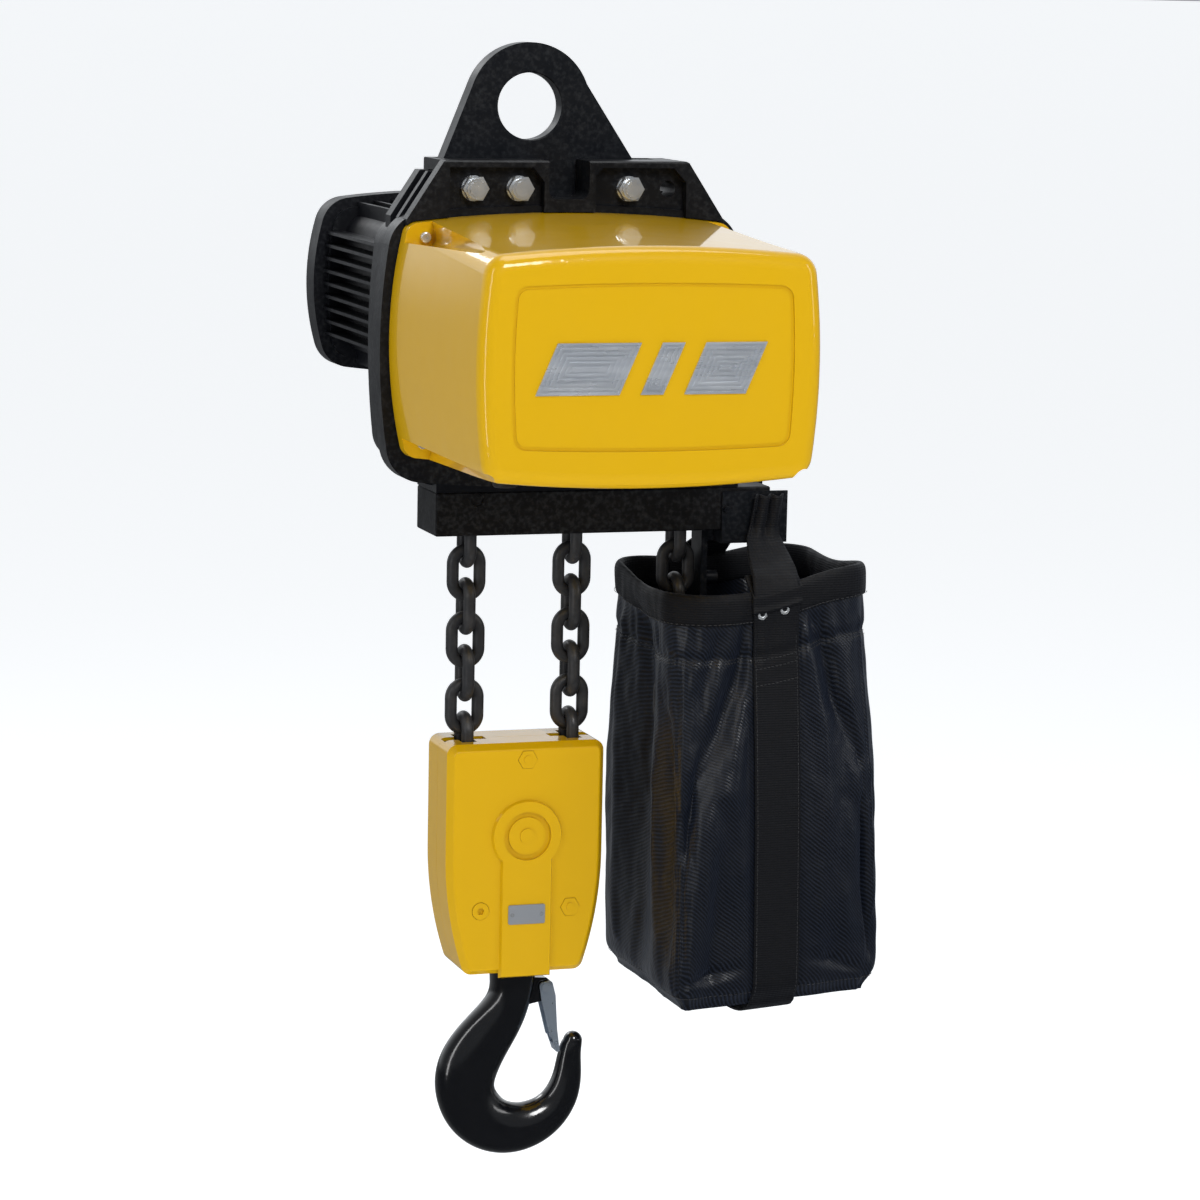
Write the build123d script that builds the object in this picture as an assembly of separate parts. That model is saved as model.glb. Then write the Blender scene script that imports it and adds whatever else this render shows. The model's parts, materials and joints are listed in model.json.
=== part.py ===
from build123d import *
import os
from math import acos, atan2, cos, degrees, hypot, pi, radians, sin, sqrt, tan

# Electric chain hoist with a two-fall hook block and a chain bag, in millimetres.
# The origin is the centre of the hole in the suspension plate. X runs to the right, Y to the
# back (towards the motor) and Z up. The chain hangs in the plane Y = 0.

# ---- driving dimensions ----
BODY_X = 25.0            # middle of the housing, beside the suspension hole
EYE_R = 30.0             # hole in the suspension plate
EYE_OUTER_R = 57.0
PLATE_T = 20.0           # suspension plate
BRACKET_TOP = -47.0      # top of the cast bracket that holds the plate
BOLT_Z = -72.0           # suspension bolts
BOLT_XS = (-61.0, -19.0, 84.5)
SPARE_HOLE_X = 122.0
BOLT_R = 7.0
GAP = 0.3                # room left between pieces that only lie near each other

FLANGE_Y = (-45.0, -17.0)        # front flange of the middle housing
CASE_BACK = 42.0                 # back face of the middle housing
GEAR_CASE_BACK = 112.0
MOTOR_BACK = 365.0
FAN_COVER_BACK = 400.0
COVER_FRONT = -290.0
BODY_Z = -206.0                  # middle height of the front cover
COVER_BACK_SIZE = (327.0, 226.0)
COVER_FRONT_SIZE = (306.0, 205.0)
COVER_FRONT_MIDDLE = (28.0, -210.5)
MOTOR_Z = -187.0

WIRE = 11.2              # chain wire diameter
PITCH = 31.0             # inside length of a link
LINK_W = 36.7            # outside width of a link
FALL = 50.5              # each fall's distance from the hook's centre line, the wheels' pitch radius
WHEEL_X = 2 * FALL       # load shaft, over the load fall and the slack fall
WHEEL_Z = -205.0
WRAP_R = 48.6            # middle of a link lying on a wheel

BAR_TOP = -346.0
BAR_BOTTOM = -386.0
BAR_X = (-89.0, 232.0)
BAR_HALF_Y = 32.0
ANCHOR_Z = -353.0        # pin that holds the end of the chain

BLOCK_TOP = -578.0
BLOCK_BOTTOM = -794.0
PULLEY_Z = -664.0
BLOCK_HALF_W = 75.0
BLOCK_HALF_Y = 38.0
SHELL_T = 3.2
RAISED = 3.5             # height of the ring and rib on the block's faces

BAG_X = (122.0, 314.0)
BAG_HALF_Y = 109.0
BAG_TOP = -432.0
BAG_BOTTOM = -832.0

os.makedirs("parts", exist_ok=True)


# ---- small helpers ----
def at_y(y):
    """Plane facing the front at depth y, with local x = X and local y = Z."""
    return Plane(origin=(0, y, 0), x_dir=(1, 0, 0), z_dir=(0, -1, 0))


def box(x0, x1, y0, y1, z0, z1):
    size = (abs(x1 - x0), abs(y1 - y0), abs(z1 - z0))
    return Pos((x0 + x1) / 2, (y0 + y1) / 2, (z0 + z1) / 2) * Box(*size)


def rod_y(x, z, r, y0, y1):
    return Pos(x, (y0 + y1) / 2, z) * Rot(90, 0, 0) * Cylinder(r, abs(y1 - y0))


def rod_x(y, z, r, x0, x1):
    return Pos((x0 + x1) / 2, y, z) * Rot(0, 90, 0) * Cylinder(r, abs(x1 - x0))


def rod_z(x, y, r, z0, z1):
    return Pos(x, y, (z0 + z1) / 2) * Cylinder(r, abs(z1 - z0))


def ring_y(x, z, outer, inner, y0, y1):
    low, high = min(y0, y1), max(y0, y1)
    return rod_y(x, z, outer, low, high) - rod_y(x, z, inner, low - 1, high + 1)


def slab(points, y0, y1):
    """Flat outline in X and Z, from depth y0 to y1."""
    face = make_face(Polyline(*points, close=True))
    return extrude(at_y(max(y0, y1)) * face, amount=abs(y1 - y0))


def hex_y(x, z, flats, y0, y1):
    face = Pos(x, z) * RegularPolygon(flats / sqrt(3), 6)
    return extrude(at_y(max(y0, y1)) * face, amount=abs(y1 - y0))


def hex_z(x, y, flats, z0, z1):
    return extrude(Pos(x, y, z0) * RegularPolygon(flats / sqrt(3), 6), amount=z1 - z0)


def barrel(width, height, bow_x, bow_z, corner, cx=BODY_X, cz=BODY_Z):
    """Rectangle with outward-bowed sides and rounded corners, in X and Z."""
    w = width / 2 - bow_x
    h = height / 2 - bow_z
    corners = [(cx - w, cz + h), (cx + w, cz + h), (cx + w, cz - h), (cx - w, cz - h)]
    middles = [(cx, cz + h + bow_z), (cx + w + bow_x, cz), (cx, cz - h - bow_z), (cx - w - bow_x, cz)]
    sides = [ThreePointArc(corners[i], middles[i], corners[(i + 1) % 4]) for i in range(4)]
    face = make_face(sides)
    return fillet(face.vertices(), corner)


def prism(face, y0, y1):
    return extrude(at_y(max(y0, y1)) * face, amount=abs(y1 - y0))


def save(name, shape):
    solids = shape.solids()
    whole = solids[0] if len(solids) == 1 else Compound(children=solids)
    whole.label = name
    export_step(whole, f"parts/{name}.step")


def group(pieces):
    """Separate solids kept in one node."""
    return Compound(children=[s for piece in pieces for s in piece.solids()])


# ---- chain ----
def link(turned):
    """One link centred on the origin, its long axis along Z. turned puts its flat side to the side."""
    r = (LINK_W - WIRE) / 2
    half = (PITCH + WIRE) / 2 - r
    path = Line((r, 0, -half), (r, 0, half))
    path += ThreePointArc((r, 0, half), (0, 0, half + r), (-r, 0, half))
    path += Line((-r, 0, half), (-r, 0, -half))
    path += ThreePointArc((-r, 0, -half), (0, 0, -half - r), (r, 0, -half))
    section = Pos(r, 0, 0) * Circle(WIRE / 2)
    body = sweep(section, path=Wire(path.edges()))
    return Rot(0, 0, 90) * body if turned else body


FACE_LINK = link(False)
EDGE_LINK = link(True)


def strand(x, top_link_z, count, first_turned):
    """A straight hanging run of links; top_link_z is the middle of its highest link."""
    pieces = []
    for i in range(count):
        shape = EDGE_LINK if (i % 2 == 0) == first_turned else FACE_LINK
        pieces.append(Pos(x, 0, top_link_z - i * PITCH) * shape)
    return group(pieces)


def wrap(x, z, first_deg, count, first_turned):
    """Links lying on a wheel at (x, z), one every 36 degrees from first_deg, anticlockwise."""
    pieces = []
    for i in range(count):
        deg = first_deg + 36 * i
        shape = EDGE_LINK if (i % 2 == 0) == first_turned else FACE_LINK
        place = (x + WRAP_R * cos(radians(deg)), 0, z + WRAP_R * sin(radians(deg)))
        pieces.append(Pos(*place) * Rot(0, -deg, 0) * shape)
    return group(pieces)


def pocket_wheel(x, z, bore, half_width, flat_deg):
    """Chain wheel with five pockets, a groove for the upright links and low teeth between pockets."""
    floor_r = WRAP_R - WIRE / 2 - 0.4
    rim_r = floor_r + 8
    flange_y = LINK_W / 2 + 1
    wheel = rod_y(x, z, floor_r, -half_width, half_width)
    wheel += ring_y(x, z, rim_r, floor_r - 1, flange_y, half_width)
    wheel += ring_y(x, z, rim_r, floor_r - 1, -half_width, -flange_y)
    for i in range(5):
        turn = Pos(x, 0, z) * Rot(0, -(flat_deg + 36 + 72 * i), 0)
        wheel += turn * Pos(floor_r - 1, 0, 0) * Box(5.4, 2 * half_width, 7)
    wheel -= ring_y(x, z, rim_r + 5, WRAP_R - LINK_W / 2 - 0.8, -WIRE / 2 - 1, WIRE / 2 + 1)
    return wheel - rod_y(x, z, bore, -half_width - 1, half_width + 1)


# ---- gears ----
PRESSURE = radians(20)


def involute(angle):
    return tan(angle) - angle


def gear_face(teeth, module, first_deg, slack=0.3):
    """Spur gear outline about (0, 0) with arc flanks through three points of the involute."""
    r = teeth * module / 2
    base = r * cos(PRESSURE)
    tip = r + 0.75 * module
    root = r - 1.1 * module
    start = max(base, root + 0.1 * module)
    half = pi / (2 * teeth) - slack / (2 * r) + involute(PRESSURE)

    def point(radius, side, middle):
        grow = involute(acos(min(1, base / radius)))
        turn = middle + side * (half - grow)
        return (radius * cos(turn), radius * sin(turn))

    edges = []
    root_half = half if base > root else half - involute(acos(base / root))
    for i in range(teeth):
        middle = radians(first_deg) + 2 * pi * i / teeth
        after = middle + 2 * pi / teeth
        foot_a = (root * cos(middle - root_half), root * sin(middle - root_half))
        foot_b = (root * cos(middle + root_half), root * sin(middle + root_half))
        next_foot = (root * cos(after - root_half), root * sin(after - root_half))
        radii = (start, (start + tip) / 2, tip)
        rise = [point(radius, -1, middle) for radius in radii]
        fall = [point(radius, 1, middle) for radius in reversed(radii)]
        edges += [Line(foot_a, rise[0]), ThreePointArc(*rise), Line(rise[2], fall[0])]
        edges += [ThreePointArc(*fall), Line(fall[2], foot_b), Line(foot_b, next_foot)]
    return make_face(edges)


def gear(place, teeth, module, first_deg, y0, y1):
    return prism(Pos(*place) * gear_face(teeth, module, first_deg), y0, y1)


def heading(a, b):
    return degrees(atan2(b[1] - a[1], b[0] - a[0]))


# ---- gear train: motor, first countershaft, second countershaft, load shaft ----
TEETH = ((13, 62), (13, 52), (12, 48))
MODULES = (1.5, 2.0, 3.0)
CENTRES = [sum(pair) * m / 2 for pair, m in zip(TEETH, MODULES)]
LOAD = (WHEEL_X, WHEEL_Z)
MOTOR = (BODY_X, MOTOR_Z)
LOW_TURN = radians(35)
SECOND = (LOAD[0] - CENTRES[2] * cos(LOW_TURN), LOAD[1] - CENTRES[2] * sin(LOW_TURN))


def left_meeting(a, ra, b, rb):
    """The point to the left of the line from a to b, at ra from a and rb from b."""
    d = hypot(b[0] - a[0], b[1] - a[1])
    along = (ra ** 2 - rb ** 2 + d ** 2) / (2 * d)
    away = sqrt(ra ** 2 - along ** 2)
    ux, uz = (b[0] - a[0]) / d, (b[1] - a[1]) / d
    return (a[0] + along * ux + away * uz, a[1] + along * uz - away * ux)


FIRST = left_meeting(MOTOR, CENTRES[0], SECOND, CENTRES[1])
AXES = (MOTOR, FIRST, SECOND, LOAD)
GEAR_YS = ((92.0, 101.0), (78.0, 89.0), (50.0, 75.0))
SHAFT_R = (10.0, 11.0, 14.0, 24.0)
RUN = 0.05               # radial running clearance in the bearings


def pinion_and_gear(stage):
    """The meshing pair of one stage: a pinion tooth points at the gear, which has a gap there."""
    a, b = AXES[stage], AXES[stage + 1]
    small, large = TEETH[stage]
    y0, y1 = GEAR_YS[stage]
    small_gear = gear(a, small, MODULES[stage], heading(a, b), y0, y1)
    large_gear = gear(b, large, MODULES[stage], heading(b, a) + 180 / large, y0 + 0.5, y1 - 0.5)
    return small_gear, large_gear


PINIONS, WHEELS = zip(*[pinion_and_gear(i) for i in range(3)])


def bearing(place, shaft_r, y0, y1, ring=9.0):
    """Rolling bearing drawn as one sleeve with a shallow groove between its two races."""
    x, z = place
    body = ring_y(x, z, shaft_r + ring, shaft_r + RUN, y0, y1)
    groove = ring_y(x, z, shaft_r + ring * 0.66, shaft_r + ring * 0.33, y0 - 1, y0 + 1.2)
    return body - groove


# ---- suspension plate ----
def suspension_plate():
    shoulder = 0.36
    left = (-EYE_OUTER_R * cos(shoulder), EYE_OUTER_R * sin(shoulder))
    right = (EYE_OUTER_R * cos(shoulder), EYE_OUTER_R * sin(shoulder))
    low = -93.0
    outline = [
        ThreePointArc(left, (0, EYE_OUTER_R), right),
        Line(right, (100, -50)),
        Line((100, -50), (128, low)),
        Line((128, low), (-78, low)),
        Line((-78, low), (-81.5, -50)),
        Line((-81.5, -50), left),
    ]
    plate = prism(make_face(outline), -PLATE_T / 2, PLATE_T / 2)
    plate -= rod_y(0, 0, EYE_R, -PLATE_T, PLATE_T)
    plate = chamfer(plate.edges().filter_by(GeomType.CIRCLE).filter_by(lambda e: e.radius < EYE_R + 1), 1.2)
    for x in BOLT_XS + (SPARE_HOLE_X,):
        plate -= rod_y(x, BOLT_Z, BOLT_R + GAP, -PLATE_T, PLATE_T)
    return plate


# ---- middle housing with its bracket ----
BRACKET_Y = (-52.0, 21.0)
NUT_SEAT = -40.0         # floor of the pockets that hold the nuts
SLOT_HALF = PLATE_T / 2 + 0.4


def channel_z(x, z0, z1, room=1.6):
    """Cross-shaped way for a hanging run of chain."""
    wide = LINK_W / 2 + room
    thin = WIRE / 2 + room
    return box(x - wide, x + wide, -thin, thin, z0, z1) + box(x - thin, x + thin, -wide, wide, z0, z1)


def bracket():
    low = -110.0
    wall = [(-91, BRACKET_TOP), (137.5, BRACKET_TOP), (172, -99), (172, low), (-125, low), (-125, -99)]
    body = slab(wall, *BRACKET_Y)
    body = chamfer(body.edges().group_by(Axis.Z)[-1], 1.5)
    pocket_left = [(-86, -53), (-8, -53), (2, -66), (2, low - 1), (-86, low - 1)]
    pocket_right = [(50, -60), (57, -53), (124, -53), (136, -66), (136, low - 1), (50, low - 1)]
    for pocket in (pocket_left, pocket_right):
        body -= slab(pocket, BRACKET_Y[0] - 1, NUT_SEAT)
    notch = fillet((Pos(25, -55) * Rectangle(38, 52)).vertices(), 8)
    body -= prism(notch, BRACKET_Y[0] - 1, -SLOT_HALF)
    plate_slot = [(-86, 0), (104, 0), (134, -94), (-84, -94)]
    body -= slab(plate_slot, -SLOT_HALF, SLOT_HALF)
    for x in BOLT_XS + (SPARE_HOLE_X,):
        body -= rod_y(x, BOLT_Z, BOLT_R + GAP, -60, 30)
    body -= box(-130, -90, -37, 22, -58, -40)
    between_ribs = [(-98, -52), (-130, -101.5), (-120, -108), (-88, -58.5)]
    for y0, y1 in ((-37, -23), (-15, 4)):
        body -= slab(between_ribs, y0, y1)
    cover_room = barrel(COVER_BACK_SIZE[0] + 1, COVER_BACK_SIZE[1] + 1, 13, 9, 13)
    return body - prism(cover_room, BRACKET_Y[0] - 1, FLANGE_Y[0])


def mid_housing():
    flange = prism(barrel(343, 254, 12, 9, 34, cz=-214), *FLANGE_Y)
    flange = chamfer(flange.edges().group_by(Axis.Y)[-1], 2)
    case = prism(barrel(308, 248, 8, 6, 30, cx=34, cz=-221), FLANGE_Y[1] - 0.5, CASE_BACK)
    foot = box(BAR_X[0], 200, -BAR_HALF_Y, BAR_HALF_Y, -346, -320)
    body = flange + case + foot + bracket()
    wheel_room = rod_y(*LOAD, 74, -30, 30)
    body -= wheel_room
    for x in (FALL, 3 * FALL):
        body -= channel_z(x, WHEEL_Z + 110, -360, 2.2)
        body -= box(x - 27, x + 27, -24, 24, -300, WHEEL_Z)
    body -= channel_z(-FALL, -361, -332)
    body -= rod_y(*LOAD, SHAFT_R[3] + 12, -38, CASE_BACK + 1)
    return body


# ---- control compartment ----
COVER_T = 3.4
PANEL_DEPTH = 1.2
SCREW_OFF = (135.0, 91.5)        # cover screws, measured from the cover's middle
NOTCH_SPREAD = 30.0              # each notch opens outward by this angle to either side


def cover_outer(inset, y_back, y_front):
    """Drafted body of the cover, drawn in by inset on every side."""
    def section(size, bow, corner, middle):
        return barrel(size[0] - 2 * inset, size[1] - 2 * inset, bow[0], bow[1], corner - inset,
                      cx=middle[0], cz=middle[1])
    back = at_y(y_back) * section(COVER_BACK_SIZE, (13, 9), 13, (BODY_X, BODY_Z))
    front = at_y(y_front) * section(COVER_FRONT_SIZE, (7, 8), 20, COVER_FRONT_MIDDLE)
    return loft([back, front])


def corner_notch(sx, sz, turn):
    """Tapered half-round way to a corner screw, open to the outside of the corner."""
    sections = []
    for y, shift, r in ((FLANGE_Y[0] - 14, 0, 9.5), (COVER_FRONT - 2, 9, 8.0)):
        cx = BODY_X + sx * (SCREW_OFF[0] + shift * 0.8)
        cz = BODY_Z + sz * (SCREW_OFF[1] + shift)
        outward = Pos(cx, cz) * Rot(0, 0, degrees(atan2(sz, sx)) + turn)
        slot = outward * Pos(22, 0) * SlotOverall(44 + 2 * r, 2 * r)
        sections.append(at_y(y) * slot)
    return loft(sections)


def front_cover():
    back = FLANGE_Y[0] - 1.5
    shell = cover_outer(0, back, COVER_FRONT)
    shell = fillet(shell.edges().group_by(Axis.Y)[0], 14)
    for sx in (-1, 1):
        for sz in (-1, 1):
            for turn in (-NOTCH_SPREAD, 0, NOTCH_SPREAD):
                shell -= corner_notch(sx, sz, turn)
    inside = cover_outer(COVER_T, back + 1, COVER_FRONT + COVER_T + 1)
    for sx in (-1, 1):
        for sz in (-1, 1):
            x = BODY_X + sx * (SCREW_OFF[0] + 12)
            z = BODY_Z + sz * (SCREW_OFF[1] + 12)
            inside -= Pos(x, -170, z) * Box(50, 260, 50)
    shell -= inside
    panel = barrel(252, 143, 3, 3, 12, cx=BODY_X + 3, cz=-209)
    panel_middle = barrel(246, 137, 3, 3, 9, cx=BODY_X + 3, cz=-209)
    shell -= prism(panel, COVER_FRONT - 1, COVER_FRONT + PANEL_DEPTH)
    shell -= prism(panel - panel_middle, COVER_FRONT, COVER_FRONT + 1.9)
    for sx in (-1, 1):
        for sz in (-1, 1):
            shell -= rod_y(BODY_X + sx * SCREW_OFF[0], BODY_Z + sz * SCREW_OFF[1], 3.2, -80, back + 1)
    return shell


def cover_gasket():
    back, front = FLANGE_Y[0] - GAP / 3, FLANGE_Y[0] - 1.4
    outer = barrel(COVER_BACK_SIZE[0] - 0.8, COVER_BACK_SIZE[1] - 0.8, 13, 9, 12)
    inner = barrel(COVER_BACK_SIZE[0] - 12, COVER_BACK_SIZE[1] - 12, 13, 9, 8)
    seal = prism(outer, front, back) - prism(inner, front - 1, back + 1)
    return seal


def cover_screws():
    pieces = []
    for sx in (-1, 1):
        for sz in (-1, 1):
            x = BODY_X + sx * SCREW_OFF[0]
            z = BODY_Z + sz * SCREW_OFF[1]
            seat = FLANGE_Y[0] - 14
            screw = rod_y(x, z, 4.9, seat - 4.6, seat - GAP / 3)
            screw = fillet(screw.edges().group_by(Axis.Y)[0], 1.4)
            screw += rod_y(x, z, 2.8, seat - GAP / 3 - 0.1, FLANGE_Y[0] - 1.6)
            pieces.append(screw - hex_y(x, z, 3.4, seat - 5, seat - 2.4))
    return group(pieces)


def emblem_bars():
    """Plain slanted bars let into the recessed panel, each milled with nested grooves."""
    pieces = []
    lean, bottom, height = 19.0, -232.0, 44.0
    front = COVER_FRONT + PANEL_DEPTH - 1.5
    for x, w in ((-77, 74), (16, 20), (55, 55)):
        corners = [(x, bottom), (x + w, bottom), (x + w + lean, bottom + height), (x + lean, bottom + height)]
        face = make_face(Polyline(*corners, close=True))
        bar = prism(face, front, COVER_FRONT + PANEL_DEPTH)
        for inset in range(2, 19, 4):
            if 2 * inset + 3 < w * 0.92:
                ring = offset(face, -inset) - offset(face, -inset - 2.0)
                bar -= prism(ring, front - 1, front + 0.9)
        pieces.append(bar)
    return group(pieces)


def control_plate():
    plate = box(-95, 145, -72, -69, -300, -118)
    for x in (-85, 135):
        for z in (-290, -128):
            plate += rod_y(x, z, 5, -69.1, FLANGE_Y[0] - GAP)
    return plate


def contactors():
    pieces = []
    for i in range(3):
        x = -88 + i * 54
        body = box(x, x + 46, -152, -72.3, -200, -130)
        body -= box(x - 1, x + 47, -160, -132, -143, -120)
        body -= box(x - 1, x + 47, -160, -132, -210, -187)
        pieces.append(body)
    return group(pieces)


def transformer():
    x, z = 106.0, -165.0
    core = box(x - 34, x + 34, -140, -72.3, z - 32, z + 32)
    core -= box(x - 20, x - 8, -150, -60, z - 20, z + 20)
    core -= box(x + 8, x + 20, -150, -60, z - 20, z + 20)
    return core


def terminal_block():
    row = box(-90, 130, -104, -72.3, -282, -244)
    for i in range(17):
        row -= box(-85 + i * 12.6, -79 + i * 12.6, -110, -96, -276, -250)
    return row


def inlet_plugs():
    pieces = []
    for x in (-60, 110):
        plug = rod_z(x, -150, 11, -326.5, -317.5)
        plug = chamfer(plug.edges().group_by(Axis.Z)[0], 1.5)
        pieces.append(plug)
    return group(pieces)


# ---- gear case and motor ----
def gear_housing():
    outer = barrel(304, 236, 8, 6, 28, cx=36, cz=-219)
    inner = barrel(288, 220, 8, 6, 22, cx=36, cz=-219)
    body = prism(outer, CASE_BACK + GAP, GEAR_CASE_BACK)
    body -= prism(inner, CASE_BACK - 1, GEAR_CASE_BACK - 8)
    for place, r in zip(AXES[:3], SHAFT_R[:3]):
        body -= rod_y(*place, r + 9 + RUN, GEAR_CASE_BACK - 9, GEAR_CASE_BACK + 1)
    return body


FIN_PITCH = 12.4
MOTOR_SIZE = (240.0, 166.0)


def motor_housing():
    y0, y1 = GEAR_CASE_BACK + GAP, MOTOR_BACK
    core_w, core_h = MOTOR_SIZE[0] - 36, MOTOR_SIZE[1] - 24
    core = prism(barrel(core_w, core_h, 4, 4, 24, cz=MOTOR_Z), y0, y1)
    skin = prism(barrel(MOTOR_SIZE[0], MOTOR_SIZE[1], 7, 6, 24, cz=MOTOR_Z), y0, y1)
    fins = []
    for i in range(-4, 5):
        z = MOTOR_Z + i * FIN_PITCH
        fins.append(box(BODY_X - 130, BODY_X + 130, y0, y1, z - 1.5, z + 1.5))
    for i in range(-5, 6):
        x = BODY_X + i * 17.0
        fins.append(box(x - 1.6, x + 1.6, y0, y1, MOTOR_Z - 90, MOTOR_Z + 90))
    body = core
    for fin in fins:
        body += fin & skin
    front_plate = prism(barrel(MOTOR_SIZE[0] - 8, MOTOR_SIZE[1] - 8, 7, 6, 22, cz=MOTOR_Z), y0, y0 + 8)
    back_plate = prism(barrel(MOTOR_SIZE[0] - 8, MOTOR_SIZE[1] - 8, 7, 6, 22, cz=MOTOR_Z), y1 - 6, y1)
    body += front_plate + back_plate
    body -= rod_y(*MOTOR, 66, 134, y1 + 1)
    body -= rod_y(*MOTOR, 12, y0 - 1, 140)
    return body


def stator():
    core = ring_y(*MOTOR, 65.7, 45.5, 160, 268)
    core += ring_y(*MOTOR, 62, 46.5, 142, 160.1)
    core += ring_y(*MOTOR, 62, 46.5, 267.9, 286)
    return core


def motor_shaft():
    shaft = rod_y(*MOTOR, SHAFT_R[0], 100.9, 386)
    shaft += PINIONS[0]
    return shaft - box(BODY_X - 1.5, BODY_X + 1.5, 362, 388, MOTOR_Z + 7, MOTOR_Z + 12)


def rotor_core():
    core = ring_y(*MOTOR, 44.6, SHAFT_R[0] + 0.02, 162, 266)
    core += ring_y(*MOTOR, 38, 30, 154, 162.1) + ring_y(*MOTOR, 38, 30, 265.9, 274)
    return core


def brake_coil():
    return ring_y(*MOTOR, 58, 16, 322, 344) - ring_y(*MOTOR, 44, 28, 320, 328)


def brake_armature():
    return ring_y(*MOTOR, 57, 17, 314.5, 320.5)


def brake_disc():
    disc = ring_y(*MOTOR, 55, SHAFT_R[0] + 0.02, 306, 313.6)
    return disc + ring_y(*MOTOR, 15, SHAFT_R[0] + 0.02, 300, 306.1)


def end_shield():
    """Bearing shield at the motor's back, whose rear face is the brake's friction plate."""
    shield = ring_y(*MOTOR, 65.5, SHAFT_R[0] + 9 + RUN, 290, 299)
    return shield + ring_y(*MOTOR, 65.5, 22, 298.9, 305.5)


def fan():
    y0, y1 = 368.0, 384.0
    hub = ring_y(*MOTOR, 20, SHAFT_R[0] + 0.02, y0, y1)
    wheel = hub + ring_y(*MOTOR, 68, 19, y0, y0 + 2)
    for i in range(9):
        blade = Pos(*(MOTOR[0], 0, MOTOR[1])) * Rot(0, 40 * i, 0) * box(19.5, 68, y0 + 1, y1, -1.2, 1.2)
        wheel += blade
    return wheel


def fan_cover():
    outer = barrel(MOTOR_SIZE[0] + 20, MOTOR_SIZE[1] + 14, 15, 9, 30, cz=MOTOR_Z)
    body = prism(outer, MOTOR_BACK + GAP, FAN_COVER_BACK)
    body = fillet(body.edges().group_by(Axis.Y)[-1], 5)
    inner = barrel(MOTOR_SIZE[0] + 12, MOTOR_SIZE[1] + 6, 15, 9, 26, cz=MOTOR_Z)
    body -= prism(inner, MOTOR_BACK + GAP + 2.5, FAN_COVER_BACK - 4)
    opening = barrel(MOTOR_SIZE[0] - 24, MOTOR_SIZE[1] - 20, 7, 6, 18, cz=MOTOR_Z)
    body -= prism(opening, MOTOR_BACK - 1, MOTOR_BACK + 5)
    for i in range(-6, 7):
        z = MOTOR_Z + i * 9.4
        half = sqrt(max(0, 62 ** 2 - (i * 9.4) ** 2))
        grille = [(BODY_X - half, z - 2.6), (BODY_X + half, z - 2.6),
                  (BODY_X + half, z + 2.6), (BODY_X - half, z + 2.6)]
        body -= slab(grille, FAN_COVER_BACK - 8, FAN_COVER_BACK + 1)
    return body


def fan_cover_screws():
    pieces = []
    for sx in (-1, 1):
        for sz in (-1, 1):
            x, z = BODY_X + sx * 96, MOTOR_Z + sz * 62
            head = rod_y(x, z, 5, FAN_COVER_BACK + GAP / 3, FAN_COVER_BACK + 3.4)
            pieces.append(head - hex_y(x, z, 4, FAN_COVER_BACK + 1.6, FAN_COVER_BACK + 4))
    return group(pieces)


def countershaft(stage):
    """Shaft that carries the large gear of one stage and the pinion of the next."""
    place = AXES[stage]
    r = SHAFT_R[stage]
    end = GEAR_CASE_BACK - 0.3
    front = CASE_BACK + 3
    pinion_y = GEAR_YS[stage]
    shaft = WHEELS[stage - 1] + PINIONS[stage]
    shaft += rod_y(*place, r, pinion_y[1] - 0.1, end)
    shaft += rod_y(*place, r - 1, front, pinion_y[0] + 0.1)
    return shaft


def load_shaft():
    shaft = rod_y(*LOAD, SHAFT_R[3], -36, 76)
    return shaft - box(WHEEL_X - 4, WHEEL_X + 4, -16, 16, WHEEL_Z + 20, WHEEL_Z + 26)


def final_gear():
    web = WHEELS[2] - rod_y(*LOAD, SHAFT_R[3] + 0.02, 40, 80)
    for i in range(6):
        web -= rod_y(WHEEL_X + 46 * cos(pi * i / 3), WHEEL_Z + 46 * sin(pi * i / 3), 10, 40, 80)
    return web


def shaft_bearings():
    pieces = [bearing(LOAD, SHAFT_R[3], -37.5, -27), bearing(LOAD, SHAFT_R[3], 27, 40, 11.5)]
    for place, r in zip(AXES[:3], SHAFT_R[:3]):
        pieces.append(bearing(place, r, GEAR_CASE_BACK - 8.8, GEAR_CASE_BACK - 0.2))
    for place, r in zip(AXES[1:3], SHAFT_R[1:3]):
        pieces.append(bearing(place, r - 1, CASE_BACK + 0.5, GEAR_YS[2][0] - 1.6, 6))
    pieces.append(bearing(MOTOR, SHAFT_R[0], 290.2, 298.8))
    return group(pieces)


# ---- chain bar ----
def chain_bar():
    body = box(*BAR_X, -BAR_HALF_Y, BAR_HALF_Y, BAR_BOTTOM, BAR_TOP - GAP)
    body = chamfer(body.edges(), 1.2)
    for x in (-FALL, FALL, 3 * FALL):
        body -= channel_z(x, BAR_BOTTOM - 1, BAR_TOP + 1)
    for x in (0, WHEEL_X):
        for y in (-20, 20):
            body -= rod_z(x, y, 5 + GAP, BAR_BOTTOM - 1, BAR_TOP + 1)
            body -= rod_z(x, y, 8.6, BAR_BOTTOM - 1, BAR_BOTTOM + 9)
    body -= rod_y(-FALL, ANCHOR_Z, 6.2, -40, 40)
    return body


def bar_bolts():
    pieces = []
    for x in (0, WHEEL_X):
        for y in (-20, 20):
            bolt = rod_z(x, y, 8, BAR_BOTTOM + 0.6, BAR_BOTTOM + 8.7)
            bolt += rod_z(x, y, 5, BAR_BOTTOM + 8.6, BAR_TOP - GAP - 0.1)
            pieces.append(bolt - hex_z(x, y, 8, BAR_BOTTOM, BAR_BOTTOM + 5))
    return group(pieces)


def chain_anchor_pin():
    return rod_y(-FALL, ANCHOR_Z, 6.0, -31, 31)


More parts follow.
